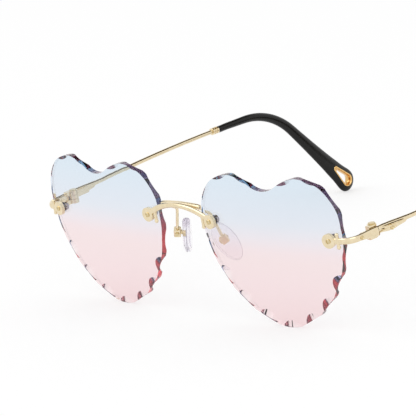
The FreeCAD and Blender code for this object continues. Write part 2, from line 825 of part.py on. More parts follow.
def lower_strand():
    sections = []
    for along, thick in LOWER_STRAND_SHARES:
        frame = path_frame(between(size.seam_gap, size.lower_strand_length, along))
        sections.append((size.lower_strand_height * thick, size.plaque_depth * thick,
                         shift(frame, x=-size.lower_strand_drop)))
    return loft(sections)


def make_temple():
    strands = fused("temple_strands", [shaped("temple_upper_strand", upper_strand()),
                                       shaped("temple_lower_strand", lower_strand())])
    seat = seat_cut("temple_seat", "0", CLEAR + " + sizes.temple_leaf_length + sizes.knuckle_gap")
    flat = cut("temple_front", strands, [seat, rivet_pit("temple_pit", size.temple_rivet_reach)])
    rod_line = arc_on_path(size.plaque_length, size.rod_length)
    rod = shaped("temple_rod", wire_along(size.rod_diameter, size.plaque_length, [rod_line]))
    core = shaped("temple_core", core_wire(size.core_diameter, CORE_END))
    return fused("temple_left", [flat, rod, core])


def make_ferrule():
    bore = "sizes.rod_diameter / 2 + sizes.fit_clearance"
    rim = "sizes.ferrule_diameter / 2"
    groove = rim + " - sizes.ferrule_groove_depth"
    profile = [(bore, "0"), (rim, "0")]
    for share in (1, 2):
        middle = "sizes.ferrule_length * %d / 3" % share
        low = middle + " - sizes.ferrule_groove_width / 2"
        high = middle + " + sizes.ferrule_groove_width / 2"
        profile += [(rim, low), (groove, low), (groove, high), (rim, high)]
    profile += [(rim, "sizes.ferrule_length"), (bore, "sizes.ferrule_length")]
    return turned("ferrule_left", path_frame(size.rod_length - size.ferrule_length), profile)


TIP_STEPS = 20
# Rounding of the paddle's end, as shares of its half width from the widest part to the end
TIP_END_SHARES = (0.4, 0.75, 0.94, 0.995)


def tip_sections():
    half = size.tip_paddle_width / 2
    widest = TEMPLE_PATH - half
    sections = []
    for step in range(TIP_STEPS + 1):
        share = step / TIP_STEPS
        sections.append((
            between(size.tip_start_width, size.tip_paddle_width, (share ** 1.3 + share ** 5) / 2),
            between(size.tip_start_depth, size.tip_paddle_depth, ease(share)),
            path_frame(between(size.rod_length, widest, share)),
        ))
    for share in TIP_END_SHARES:
        round_off = math.sqrt(1 - share ** 2)
        sections.append((size.tip_paddle_width * round_off, size.tip_paddle_depth * round_off,
                         path_frame(widest + half * share)))
    return sections


# Eyelets: a teardrop ring set through the paddle, point up

def teardrop(label, end, length, diameters, depth):
    """A teardrop bar across the tip, round at its end on the path, with its (round, point) diameters."""
    big, small = (diameter / 2 for diameter in diameters)
    low = path_frame(end - big)
    high = path_frame(end - length + small)
    lean = math.asin((big - small) / (low.Base - high.Base).Length)
    left = Vector(math.cos(lean), 0, -math.sin(lean))
    right = Vector(-left.x, 0, left.z)
    round_arc = Part.Arc(*(low.multVec(way * big) for way in (left, Z_AXIS, right)))
    point_arc = Part.Arc(*(high.multVec(way * small) for way in (right, -Z_AXIS, left)))
    outline = Part.Wire([
        round_arc.toShape(),
        Part.LineSegment(round_arc.EndPoint, point_arc.StartPoint).toShape(),
        point_arc.toShape(),
        Part.LineSegment(point_arc.EndPoint, round_arc.StartPoint).toShape(),
    ])
    across = TEMPLE.Rotation.multVec(Y_AXIS)
    outline.translate(across * (-depth / 2))
    return shaped(label, Part.Face(outline).extrude(across * depth))


EYELET_END = TEMPLE_PATH - size.eyelet_end_margin


def eyelet_bar(label, margin, depth):
    """The outer form of the eyelet, larger all round by a margin."""
    diameters = (size.eyelet_round_diameter + 2 * margin, size.eyelet_point_diameter + 2 * margin)
    return teardrop(label, EYELET_END + margin, size.eyelet_length + 2 * margin, diameters, depth)


def make_eyelet():
    hole = teardrop("eyelet_hole", EYELET_END - size.eyelet_hole_margin, size.eyelet_hole_length,
                    (size.eyelet_hole_width, size.eyelet_hole_point), size.eyelet_depth + size.cut_overrun)
    return cut("eyelet_left", eyelet_bar("eyelet_block", 0, size.eyelet_depth), [hole])


def make_tip():
    whole = shaped("tip_blank", loft(tip_sections()))
    bore_width = size.core_diameter + 2 * size.tip_clearance
    bore = shaped("tip_bore", core_wire(bore_width, CORE_END + size.tip_clearance))
    window = eyelet_bar("tip_window", size.fit_clearance, size.eyelet_depth + size.cut_overrun)
    return cut("temple_tip_left", whole, [bore, window])


# Nose pads: the arm runs back from the bridge and down to a box; the pad's tab rocks on a screw in the box

PIVOT = Vector(size.pad_pivot_reach, size.pad_pivot_setback, size.pad_pivot_rise)
ARM_ROOT = back_bar_middle(size.arm_root_reach) - Z_AXIS * size.arm_root_drop
ARM_CORNER = Vector(size.arm_root_reach, size.arm_setback, ARM_ROOT.z - size.arm_corner_drop)


def pad_frame():
    """A frame at the pad screw with X up along the pad, Y along the screw and Z to the nose."""
    along_arm = (ARM_CORNER - PIVOT).normalize()
    up = Rotation(Y_AXIS, -size.pad_flare_angle).multVec(along_arm)
    up = Rotation(X_AXIS, size.pad_sweep_angle).multVec(up)
    inward = (-X_AXIS - up * (-X_AXIS).dot(up)).normalize()
    turned_in = Rotation(up, -size.pad_splay_angle).multVec(inward)
    return axes(PIVOT, up, turned_in)


PAD = pad_frame()
PAD_BACK = size.box_depth / 2 + size.pad_standoff
PAD_MIDDLE = shift(PAD, x=-size.pad_drop, z=PAD_BACK)


def make_pad_arm(behind):
    foot = PAD.multVec(Vector(size.box_height / 2 - size.arm_diameter / 2, 0, 0))
    back = (ARM_CORNER - ARM_ROOT).normalize()
    down = (foot - ARM_CORNER).normalize()
    turn = math.acos(back.dot(down))
    tangent = size.arm_bend_radius * math.tan(turn / 2)
    enter = ARM_CORNER - back * tangent
    leave = ARM_CORNER + down * tangent
    inside = (down - back).normalize()
    middle = ARM_CORNER + inside * (size.arm_bend_radius * (1 / math.cos(turn / 2) - 1))
    path = Part.Wire([
        Part.LineSegment(ARM_ROOT, enter).toShape(),
        Part.Arc(enter, middle, leave).toShape(),
        Part.LineSegment(leave, foot).toShape(),
    ])
    profile = oval(size.arm_diameter, size.arm_diameter, axes(ARM_ROOT, X_AXIS, back))
    wire = shaped("pad_arm_wire", path.makePipeShell([profile], True, False))
    return cut("pad_arm_left", wire, [behind, box_blank("pad_arm_end")])


def box_blank(label):
    """The block that a pad box is made from."""
    return block(label, PAD,
                 ("-sizes.box_height / 2", "-sizes.box_width / 2", "-sizes.box_depth / 2"),
                 ("sizes.box_height", "sizes.box_width", "sizes.box_depth"))


def make_pad_box():
    shell = box_blank("pad_box_shell")
    doc.recompute([shell])
    rounded = rounded_edges("pad_box_rounded", shell, size.box_rounding, shell.Shape.Edges)
    slot_width = "(sizes.tab_thickness + 2 * sizes.tab_clearance)"
    slot = block("pad_box_slot", PAD,
                 ("-sizes.box_height", "-%s / 2" % slot_width, "sizes.box_back_wall - sizes.box_depth / 2"),
                 ("1.5 * sizes.box_height - sizes.box_top_wall", slot_width, "sizes.box_depth"))
    return cut("pad_box_left", rounded, [slot, pad_screw_bore("pad_box_bore", "sizes.fit_clearance")])


def pad_screw_bore(label, clearance):
    across = PAD.multiply(Placement(Vector(0, -size.box_width, 0), Rotation(X_AXIS, -90)))
    return solid("Part::Cylinder", label, across, Height="2 * sizes.box_width",
                 Radius="sizes.pad_screw_diameter / 2 + " + clearance)


def make_pad_screw():
    across = PAD.multiply(Placement(Vector(0, -size.box_width / 2, 0), Rotation(X_AXIS, -90)))
    head = shift(across, z=size.box_width).multiply(Placement(ORIGIN, Rotation(X_AXIS, 180)))
    front = across if across.Base.y < head.Base.y else head
    place = shift(front, z=-size.pad_screw_head_height)
    return turned("pad_screw_left", place, [
        ("0", "0"),
        ("sizes.pad_screw_head_diameter / 2", "0"),
        ("sizes.pad_screw_head_diameter / 2", "sizes.pad_screw_head_height"),
        ("sizes.pad_screw_diameter / 2", "sizes.pad_screw_head_height"),
        ("sizes.pad_screw_diameter / 2", "sizes.pad_screw_head_height + sizes.box_width"),
        ("0", "sizes.pad_screw_head_height + sizes.box_width"),
    ])


def tab_pieces(label, clearance):
    """The round eye, the shank and the foot of a pad tab, all larger by a clearance expression."""
    eye_place = PAD.multiply(Placement(Vector(0, -size.tab_thickness / 2, 0), Rotation(X_AXIS, -90)))
    eye = solid("Part::Cylinder", label + "_eye", eye_place,
                Radius="sizes.tab_width / 2 + " + clearance, Height="sizes.tab_thickness")
    shank = block(label + "_shank", PAD,
                  ("-sizes.tab_width / 2 - " + clearance, "-sizes.tab_thickness / 2 - " + clearance, "0"),
                  ("sizes.tab_width + 2 * " + clearance, "sizes.tab_thickness + 2 * " + clearance,
                   "sizes.box_depth / 2 + sizes.pad_standoff + sizes.pad_skin + sizes.tab_foot_thickness"))
    foot_base = PAD_BACK + size.pad_skin - float(sheet.evalExpression(clearance))
    foot = solid("Part::Cylinder", label + "_foot", shift(PAD, z=foot_base),
                 Radius="sizes.tab_foot_diameter / 2 + " + clearance,
                 Height="sizes.tab_foot_thickness + 2 * " + clearance)
    return [eye, shank, foot]


def make_pad_tab():
    body = fused("pad_tab_body", tab_pieces("pad_tab", "0 * sizes.fit_clearance"))
    return cut("pad_tab_left", body, [pad_screw_bore("pad_tab_bore", "sizes.hinge_pin_clearance")])


def make_nose_pad():
    outline = oval(size.pad_length, size.pad_width, PAD_MIDDLE)
    normal = PAD.Rotation.multVec(Z_AXIS)
    pillow = shaped("pad_blank", Part.Face(outline).extrude(normal * size.pad_thickness))
    rims = [edge for edge in pillow.Shape.Edges if edge.isClosed() and edge.Length > size.pad_length]
    softened = rounded_edges("pad_rounded", pillow, size.pad_rounding, rims)
    return cut("nose_pad_left", softened, tab_pieces("pad_pocket", "sizes.fit_clearance"))


# Assembly

def make_all():
    """Makes every piece as worn; a left piece is followed by its mirror image."""
    behind = shaped("bridge_back_bar", back_bar())
    bridge = make_bridge(behind)
    lens = shaped("lens_left", lens_shape())
    lens.Placement = LENS
    left = [
        lens, make_endpiece(), make_front_hinge(), make_hinge_screw(),
        make_temple(), make_temple_hinge(), make_ferrule(), make_tip(), make_eyelet(),
        make_pad_arm(behind), make_pad_box(), make_pad_screw(), make_pad_tab(), make_nose_pad(),
    ]
    groups = [fastener_group(kind, kind + "s") for kind in FASTENERS]
    right = [mirrored(piece.Label.replace("left", "right"), piece) for piece in left]
    return bridge, left, groups, right


def lowest(shape, angle):
    turned_shape = shape.copy()
    turned_shape.rotate(ORIGIN, X_AXIS, angle)
    return turned_shape.optimalBoundingBox(False).ZMin


def standing_pose(lens, tip, pieces):
    """Tips the glasses until lens and tip stand on one floor, and centres them on the origin."""
    low, high = 0.0, 45.0
    for _ in range(30):
        middle = (low + high) / 2
        if lowest(tip, middle) < lowest(lens, middle):
            low = middle
        else:
            high = middle
    tilt = Placement(ORIGIN, Rotation(X_AXIS, high))
    boxes = []
    for piece in pieces:
        shape = piece.Shape.copy()
        shape.rotate(ORIGIN, X_AXIS, high)
        boxes.append(shape.optimalBoundingBox(False))
    front = min(box.YMin for box in boxes)
    back = max(box.YMax for box in boxes)
    floor = min(box.ZMin for box in boxes)
    return Placement(Vector(0, -(front + back) / 2, -floor), Rotation()).multiply(tilt)


def check_all(nodes):
    for item in doc.Objects:
        bad = {"Invalid", "Error"} & set(item.State)
        if bad:
            raise RuntimeError("%s is %s" % (item.Label, bad))
    for node in nodes:
        if node.Shape.isNull() or not node.Shape.isValid():
            raise RuntimeError("%s has no valid shape" % node.Label)


def main():
    bridge, left, groups, right = make_all()
    doc.recompute()
    nodes = [bridge] + left + groups + right
    check_all(nodes)
    by_label = {node.Label: node for node in nodes}
    pose = standing_pose(by_label["lens_left"].Shape, by_label["temple_tip_left"].Shape, nodes)
    for node in [bridge] + left + groups:
        node.Placement = pose.multiply(node.Placement)
    doc.recompute()
    check_all(nodes)
    os.makedirs("parts", exist_ok=True)
    for node in nodes:
        node.Shape.exportStep("parts/%s.step" % node.Label)
    hinge = pose.multiply(shift(TEMPLE, y=HINGE_OFFSET))
    pivot = pose.multiply(PAD)
    print("pitch", round(math.degrees(pose.Rotation.Angle), 3), "shift", pose.Base)
    print("left hinge", hinge.Base, "axis", hinge.Rotation.multVec(Z_AXIS))
    print("left pad screw", pivot.Base, "axis", pivot.Rotation.multVec(Y_AXIS))
    print("nodes", len(nodes))


main()
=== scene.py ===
"""Looks of a pair of rimless sunglasses with heart shaped lenses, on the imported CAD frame."""
import itertools
import math

import bmesh
import bpy
from mathutils import Matrix, Vector
from mathutils.bvhtree import BVHTree


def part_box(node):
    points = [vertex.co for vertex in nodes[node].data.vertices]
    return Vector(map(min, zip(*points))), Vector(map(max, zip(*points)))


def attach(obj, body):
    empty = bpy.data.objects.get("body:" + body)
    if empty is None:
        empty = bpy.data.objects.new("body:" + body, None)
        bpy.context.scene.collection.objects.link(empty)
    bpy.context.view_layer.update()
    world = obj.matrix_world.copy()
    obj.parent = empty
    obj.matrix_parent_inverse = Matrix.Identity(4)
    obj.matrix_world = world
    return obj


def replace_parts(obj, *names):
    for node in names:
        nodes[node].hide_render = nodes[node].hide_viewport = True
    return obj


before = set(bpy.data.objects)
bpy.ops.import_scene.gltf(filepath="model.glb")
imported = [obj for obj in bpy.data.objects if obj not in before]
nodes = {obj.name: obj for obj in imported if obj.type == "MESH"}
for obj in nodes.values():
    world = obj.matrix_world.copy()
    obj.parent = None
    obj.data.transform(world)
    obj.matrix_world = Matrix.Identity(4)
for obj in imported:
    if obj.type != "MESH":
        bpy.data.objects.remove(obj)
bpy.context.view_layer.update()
MM = 0.001
SIDES = ("left", "right")

# Lens tint
# Its heights, from the lens tip to the tops of the lobes
LENS_LOW, LENS_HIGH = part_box("lens_left")[0].z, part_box("lens_left")[1].z
# The lens against white, from its tip to its top, and how much of that tint lies in its skin
TINTS = [(0.0, "#F9E6E7"), (0.28, "#F7E9EA"), (0.44, "#F6EBEB"),
         (0.58, "#F3EDF1"), (0.74, "#EAEBF3"), (1.0, "#DFEAF4")]
SKIN_SHARE = 0.8
# What the dye all through the lens leaves of white light that has run a long way inside it
DYES = [(0.0, "#B4262C"), (0.5, "#B02A32"), (0.59, "#4E4466"), (0.68, "#205A94"), (1.0, "#2264A0")]
LONG_RUN = 80 * MM
# The density of every clear material, which its absorption colour is worked out for
DENSITY = 60.0
# Light runs through many inner reflections before it leaves a lens edge
BOUNCES = 40

# Where a cloudy pattern is at its deepest and at its palest
CLOUD_DEEP, CLOUD_PALE = 0.3, 0.7

# Turned pieces: the steps round them and the width of a broken edge
TURN_STEPS = 32
BROKEN_EDGE = 0.1 * MM
# Two faces this nearly parallel count as one flat
PARALLEL = 0.9999

# A lens screw's head: the width of its rim and the depth of its hollow
RIM_WIDTH, HOLLOW_DEPTH = 0.28 * MM, 0.22 * MM
# No two lens screws are nearer than this, and none is longer
SCREW_REACH = 8 * MM
# What is wider than this share of the head belongs to the head
HEAD_SHARE = 0.95

# The hollow rivets: how far back and up each sits from the front low corner of the endpiece
RIVETS = {"endpiece": (6.9 * MM, 3.1 * MM), "temple": (19.5 * MM, 3.4 * MM)}
RIVET_RADIUS, RIVET_RISE, RIVET_ROOT = 0.66 * MM, 0.4 * MM, 0.3 * MM
# The inner edge of a rivet's rim, and the foot of its hollow: its radius and its height over the face
RIVET_LIP = RIVET_RADIUS - 1.5 * BROKEN_EDGE
HOLLOW_RADIUS, HOLLOW_HEIGHT = 0.18 * MM, 0.05 * MM

# The two raised lines on a temple: control points, in millimetres back and up from the same corner
RIDGES = [[(15.6, 4.6), (18.7, 4.75), (21.4, 4.85), (25.0, 5.05)],
          [(14.5, 3.9), (17.2, 3.9), (20.4, 4.1), (25.4, 4.6)]]
# Their section, in millimetres up the face and out of it, and the steps along them
RIDGE_SECTION = [(-0.45, -0.08), (0.0, 0.4), (0.3, -0.08)]
RIDGE_STEPS = 24
# The share of the section that is left at their ends, and how soon it swells to the whole
RIDGE_END, RIDGE_SWELL = 0.15, 0.4

# The parting line round a nose pad: its radius, its steps, and a reach from outside the pad to its middle
SEAM_RADIUS, SEAM_STEPS, SEAM_REACH = 0.12 * MM, 96, 20 * MM

# The gold bezel of a tip: its narrow end, its hole and the metal left at the hole's round end
NARROW_END = 1.9 * MM
HOLE_LENGTH, HOLE_WIDTH, HOLE_NARROW_END, HOLE_MARGIN = 7.8 * MM, 3.3 * MM, 1.2 * MM, 0.8 * MM
# Its section from the outer wall (0) to the waist of the hole (1), and the height there in half depths
BEZEL_SECTION = [(0.0, -0.85), (0.0, 0.85), (0.12, 1.0), (0.4, 1.0), (0.7, 0.7), (0.92, 0.3), (1.0, 0.0),
                 (0.92, -0.3), (0.7, -0.7), (0.4, -1.0), (0.12, -1.0)]
# Steps round a teardrop's narrow end, round its wide end and along each side
NARROW_STEPS, WIDE_STEPS, SIDE_STEPS = 12, 28, 6
# The depth of an eyelet's ends that its length is measured between, and how often that is done over
END_DEPTH, END_ROUNDS = 0.3 * MM, 3

# The paper floor: half its width in metres, and how far it lies under the glasses
FLOOR_REACH, FLOOR_DROP = 6.0, 0.02 * MM
# How much of the floor is plain white to a ray that looks at it as a backdrop
WHITE_SHARE = 0.6
# The high card: its distance in metres, then its elevations and its bearings in degrees, and its steps
CARD_AWAY, CARD_ELEVATIONS, CARD_BEARINGS, CARD_STEPS = 1.6, (40, 72), (50, 172), 14
# The low card's corners and its height over the floor
LOW_CARD, LOW_CARD_RISE = ((-35, 95), (115, 95), (115, 215), (-35, 215)), 0.5 * MM
# The strength of the room's light on the object, and as a backdrop
ROOM_LIGHT, ROOM_WHITE = 0.85, 1.0
# The lamps: place and width in metres, and watts
LAMPS = {"key": ((-1.0, -1.4, 2.2), 2.0, 14.0), "fill": ((1.9, -0.6, 2.0), 1.8, 8.0)}

# The camera: its direction and roll, its lens, and its place from the middle of the front
AZIMUTH, ELEVATION, ROLL = math.radians(48.82), math.radians(12.456), math.radians(-7.182)
FOCAL_LENGTH, SENSOR_WIDTH, NEAREST = 299.98, 36.0, 0.05
AIM_BACK, AIM_HEIGHT = 2.481 * MM, 30 * MM
CAMERA_ACROSS, CAMERA_UP, CAMERA_AWAY = 7.244 * MM, 7.103 * MM, 1136.216 * MM


def linear(code):
    """An sRGB hex colour as linear RGBA."""
    parts = [int(code[i:i + 2], 16) / 255 for i in (1, 3, 5)]
    return [c / 12.92 if c <= 0.04045 else ((c + 0.055) / 1.055) ** 2.4 for c in parts] + [1.0]


def add(tree, kind, sockets=None, **settings):
    """Adds a node: settings are its properties, sockets hold values or the outputs that feed them."""
    node = tree.nodes.new(kind)
    for name, value in settings.items():
        setattr(node, name, value)
    for name, value in (sockets or {}).items():
        if isinstance(value, bpy.types.NodeSocket):
            tree.links.new(value, node.inputs[name])
        else:
            node.inputs[name].default_value = value
    return node


def blank(name):
    """A new material with an empty node tree."""
    made = bpy.data.materials.new(name)
    made.use_nodes = True
    made.node_tree.nodes.clear()
    return made, made.node_tree


def stops(ramp, colours):
    """Sets a colour ramp to (place, colour) pairs."""
    elements = ramp.color_ramp.elements
    while len(elements) < len(colours):
        elements.new(0.5)
    for element, (place, colour) in zip(elements, colours):
        element.position = place
        element.color = colour
    return ramp


def per_mm(size):
    """The texture scale whose features are that many millimetres wide."""
    return 1 / (size * MM)


def in_skin(code):
    """The colour of the lens skin, whose two sides together take their share of the tint."""
    return [c ** SKIN_SHARE for c in linear(code)]


def absorbed(code, run):
    """The absorption colour that leaves a colour of white light after a run inside the piece."""
    return [1 + math.log(c) / (run * DENSITY) for c in linear(code)[:3]] + [1.0]


def pale_shadow(tree, body, colour):
    """The surface of a clear body that lamp light passes straight through, so that its shadow is pale."""
    open_way = add(tree, "ShaderNodeBsdfTransparent", {"Color": linear(colour)})
    light = add(tree, "ShaderNodeLightPath")
    mixed = add(tree, "ShaderNodeMixShader", {
        "Fac": light.outputs["Is Shadow Ray"], 1: body.outputs["BSDF"], 2: open_way.outputs["BSDF"]})
    return mixed.outputs["Shader"]


def lens_material():
    # Polycarbonate, dip dyed from blue down to pink and polished on every face. It looks pale through
    # its faces, and deep blue or red where light has run a long way inside it to the edge.
    made, tree = blank("dyed_polycarbonate")
    place = add(tree, "ShaderNodeTexCoord")
    split = add(tree, "ShaderNodeSeparateXYZ", {"Vector": place.outputs["Object"]})
    height = add(tree, "ShaderNodeMapRange", {
        "Value": split.outputs["Z"], "From Min": LENS_LOW, "From Max": LENS_HIGH})
    skin = stops(add(tree, "ShaderNodeValToRGB", {"Fac": height.outputs["Result"]}),
                 [(at, in_skin(code)) for at, code in TINTS])
    dye = stops(add(tree, "ShaderNodeValToRGB", {"Fac": height.outputs["Result"]}),
                [(at, absorbed(code, LONG_RUN)) for at, code in DYES])
    clear = add(tree, "ShaderNodeBsdfPrincipled", {
        "Base Color": skin.outputs["Color"], "Roughness": 0.0, "IOR": 1.586, "Transmission Weight": 1.0})
    surface = pale_shadow(tree, clear, "#FFFFFF")
    inside = add(tree, "ShaderNodeVolumeAbsorption", {"Color": dye.outputs["Color"], "Density": DENSITY})
    add(tree, "ShaderNodeOutputMaterial", {"Surface": surface, "Volume": inside.outputs["Volume"]})
    return made


def metal_material(name, pale, deep, smooth, rough, grain):
    """A polished plating whose colour and gloss wander a little over grain millimetres."""
    made, tree = blank(name)
    place = add(tree, "ShaderNodeTexCoord")
    cloud = add(tree, "ShaderNodeTexNoise", {
        "Vector": place.outputs["Object"], "Scale": per_mm(grain), "Detail": 3.0, "Roughness": 0.6})
    tone = stops(add(tree, "ShaderNodeValToRGB", {"Fac": cloud.outputs["Fac"]}),
                 [(CLOUD_DEEP, linear(deep)), (CLOUD_PALE, linear(pale))])
    gloss = add(tree, "ShaderNodeMapRange", {
        "Value": cloud.outputs["Fac"], "To Min": smooth, "To Max": rough})
    plate = add(tree, "ShaderNodeBsdfPrincipled", {
        "Base Color": tone.outputs["Color"], "Roughness": gloss.outputs["Result"], "Metallic": 1.0})
    add(tree, "ShaderNodeOutputMaterial", {"Surface": plate.outputs["BSDF"]})
    return made


def clear_material(name, pale, deep, index, rough, grain, inside, run):
    """A clear moulding, clouded a little over grain millimetres.

    It leaves the inside colour of white light after a run of that many millimetres.
    """
    made, tree = blank(name)
    place = add(tree, "ShaderNodeTexCoord")
    cloud = add(tree, "ShaderNodeTexNoise", {
        "Vector": place.outputs["Object"], "Scale": per_mm(grain), "Detail": 2.0})
    tone = stops(add(tree, "ShaderNodeValToRGB", {"Fac": cloud.outputs["Fac"]}),
                 [(CLOUD_DEEP, linear(deep)), (CLOUD_PALE, linear(pale))])
    body = add(tree, "ShaderNodeBsdfPrincipled", {
        "Base Color": tone.outputs["Color"], "Roughness": rough, "IOR": index, "Transmission Weight": 1.0})
    surface = pale_shadow(tree, body, pale)
    depth = add(tree, "ShaderNodeVolumeAbsorption", {
        "Color": absorbed(inside, run * MM), "Density": DENSITY})
    add(tree, "ShaderNodeOutputMaterial", {"Surface": surface, "Volume": depth.outputs["Volume"]})
    return made


def acetate_material():
    # Black cellulose acetate, tumbled to a soft shine: near black with broad, dull highlights.
    made, tree = blank("tumbled_black_acetate")
    place = add(tree, "ShaderNodeTexCoord")
    cloud = add(tree, "ShaderNodeTexNoise", {
        "Vector": place.outputs["Object"], "Scale": per_mm(1.2), "Detail": 3.0})
    tone = stops(add(tree, "ShaderNodeValToRGB", {"Fac": cloud.outputs["Fac"]}),
                 [(CLOUD_DEEP, linear("#0B0A09")), (CLOUD_PALE, linear("#131110"))])
    gloss = add(tree, "ShaderNodeMapRange", {
        "Value": cloud.outputs["Fac"], "To Min": 0.2, "To Max": 0.3})
    body = add(tree, "ShaderNodeBsdfPrincipled", {
        "Base Color": tone.outputs["Color"], "Roughness": gloss.outputs["Result"], "IOR": 1.48,
        "Specular IOR Level": 0.26})
    add(tree, "ShaderNodeOutputMaterial", {"Surface": body.outputs["BSDF"]})
    return made


def dress():
    """Gives every CAD node its finish, and makes the pieces that the CAD has plain or not at all."""
    lens = lens_material()
    # Pale gold plating over nickel silver, polished: bright champagne with crisp dark reflections.
    gold = metal_material("pale_gold_plating", "#EFE0C0", "#E3D2AE", 0.08, 0.18, 1.5)
    # Warmer gold plating on the small castings: honey coloured and a little softer.
    honey = metal_material("warm_gold_plating", "#EDC88C", "#DFB26C", 0.14, 0.24, 1.0)
    # Turned and plated brass screws and rivets: a little darker than the frame.
    screw = metal_material("plated_screw_brass", "#E4D4AE", "#D2C094", 0.14, 0.24, 0.6)
    # Nickel nuts: grey with a cool cast.
    nickel = metal_material("bright_nickel", "#B9B3BC", "#9C96A2", 0.14, 0.24, 0.6)
    # Clear nylon bushes and washers: milky clear.
    nylon = clear_material("clear_nylon", "#F6F6F8", "#E9EAEE", 1.5, 0.12, 0.8, "#E8E8EC", 3)
    # Moulded clear silicone: glassy with a faint lilac grey.
    silicone = clear_material("clear_silicone", "#FEFDFE", "#FAF9FB", 1.41, 0.03, 2.0, "#F7F5F9", 7)
    # The parting line of the same moulding: rougher, and tinted grey as painted shade for the dark rim of
    # the clear pad, so it shows as a fine grey line.
    seam_and_painted_rim = clear_material("silicone_parting_line_painted_rim_shade", "#E4E1E8", "#D6D2DC", 1.41, 0.3, 0.5, "#DAD6E0", 1)
    acetate = acetate_material()
    finishes = {
        "lens_screws": screw, "lens_nuts": nickel, "lens_washers": nylon, "lens_sleeves": nylon,
        "hinge_screw": screw, "pad_screw": screw, "pad_tab": screw, "eyelet": honey,
        "nose_pad": silicone, "temple_tip": acetate, "lens": lens,
    }
    for name, node in nodes.items():
        stem = name.removesuffix("_left").removesuffix("_right")
        node.data.materials.clear()
        node.data.materials.append(finishes.get(stem, gold))
    for side in SIDES:
        make_bezel(side, honey)
    make_screws(screw)
    for side in SIDES:
        make_rivets(side, screw)
        make_ridges(side, gold)
        make_seam(side, seam_and_painted_rim)


def place_piece(name, shape, finish, body):
    """Makes a piece from a mesh in work and hangs it on its body."""
    bmesh.ops.recalc_face_normals(shape, faces=shape.faces)
    mesh = bpy.data.meshes.new(name)
    shape.to_mesh(mesh)
    shape.free()
    mesh.materials.append(finish)
    piece = bpy.data.objects.new(name, mesh)
    bpy.context.scene.collection.objects.link(piece)
    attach(piece, body)
    return piece


def turned(shape, base, axis, profile):
    """Adds a turned body to a mesh: profile holds radii and heights over base, from one end to the other."""
    side = axis.orthogonal().normalized()
    other = axis.cross(side)
    turns = [2 * math.pi * i / TURN_STEPS for i in range(TURN_STEPS)]
    rings = [[shape.verts.new(base + axis * height + (side * math.cos(t) + other * math.sin(t)) * radius)
              for t in turns] for radius, height in profile]
    for ring, following in zip(rings, rings[1:]):
        for i, corner in enumerate(ring):
            shape.faces.new((ring[i - 1], corner, following[i], following[i - 1]))
    shape.faces.new(rings[0])
    shape.faces.new(rings[-1])


def main_normal(faces):
    """The direction that most of a piece's surface faces, one way or the other."""
    return max((face.normal.copy() for face in faces),
               key=lambda n: sum(face.area for face in faces if abs(n.dot(face.normal)) > PARALLEL))


def skin_of(name):
    """The surface of a CAD node, for finding where a line meets it."""
    mesh = nodes[name].data
    return BVHTree.FromPolygons([v.co for v in mesh.vertices],
                                [list(face.vertices) for face in mesh.polygons])


def on_outer_face(skin, side, back, up):
    """The spot and normal of a skin's outer face, back and up from the front low corner of the endpiece."""
    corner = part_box("endpiece_" + side)[0]
    out = Vector((1 if side == "left" else -1, 0, 0))
    spot, normal, _, _ = skin.ray_cast(Vector((0, corner.y + back, corner.z + up)) + out, -out)
    return spot, normal


def make_rivets(side, finish):
    """A hollow rivet on the outer face of the endpiece and one on the temple."""
    for stem, (back, up) in RIVETS.items():
        spot, normal = on_outer_face(skin_of(stem + "_" + side), side, back, up)
        axis = Vector((normal.x, normal.y, 0)).normalized()
        shape = bmesh.new()
        turned(shape, spot, axis, [
            (RIVET_RADIUS, -RIVET_ROOT), (RIVET_RADIUS, RIVET_RISE - BROKEN_EDGE),
            (RIVET_RADIUS - BROKEN_EDGE, RIVET_RISE), (RIVET_LIP, RIVET_RISE),
            (HOLLOW_RADIUS, HOLLOW_HEIGHT)])
        body = "front" if stem == "endpiece" else "temple_" + side
        place_piece(stem + "_rivet_" + side, shape, finish, body)


def make_ridges(side, finish):
    """The two raised lines on the outer face of a temple, thin at both ends."""
    skin = skin_of("temple_" + side)
    shape = bmesh.new()
    for points in RIDGES:
        rings = []
        for i in range(RIDGE_STEPS + 1):
            t = i / RIDGE_STEPS
            shares = ((1 - t) ** 3, 3 * t * (1 - t) ** 2, 3 * t ** 2 * (1 - t), t ** 3)
            back, up = (sum(share * point[k] for share, point in zip(shares, points)) * MM for k in (0, 1))
            spot, normal = on_outer_face(skin, side, back, up)
            rise = (Vector((0, 0, 1)) - normal * normal.z).normalized()
            full = RIDGE_END + (1 - RIDGE_END) * math.sin(math.pi * t) ** RIDGE_SWELL
            rings.append([shape.verts.new(spot + (rise * a + normal * b) * full * MM)
                          for a, b in RIDGE_SECTION])
        for ring, following in zip(rings, rings[1:]):
            for k, corner in enumerate(ring):
                shape.faces.new((ring[k - 1], corner, following[k], following[k - 1]))
        shape.faces.new(rings[0])
        shape.faces.new(rings[-1])
    place_piece("temple_ridges_" + side, shape, finish, "temple_" + side)


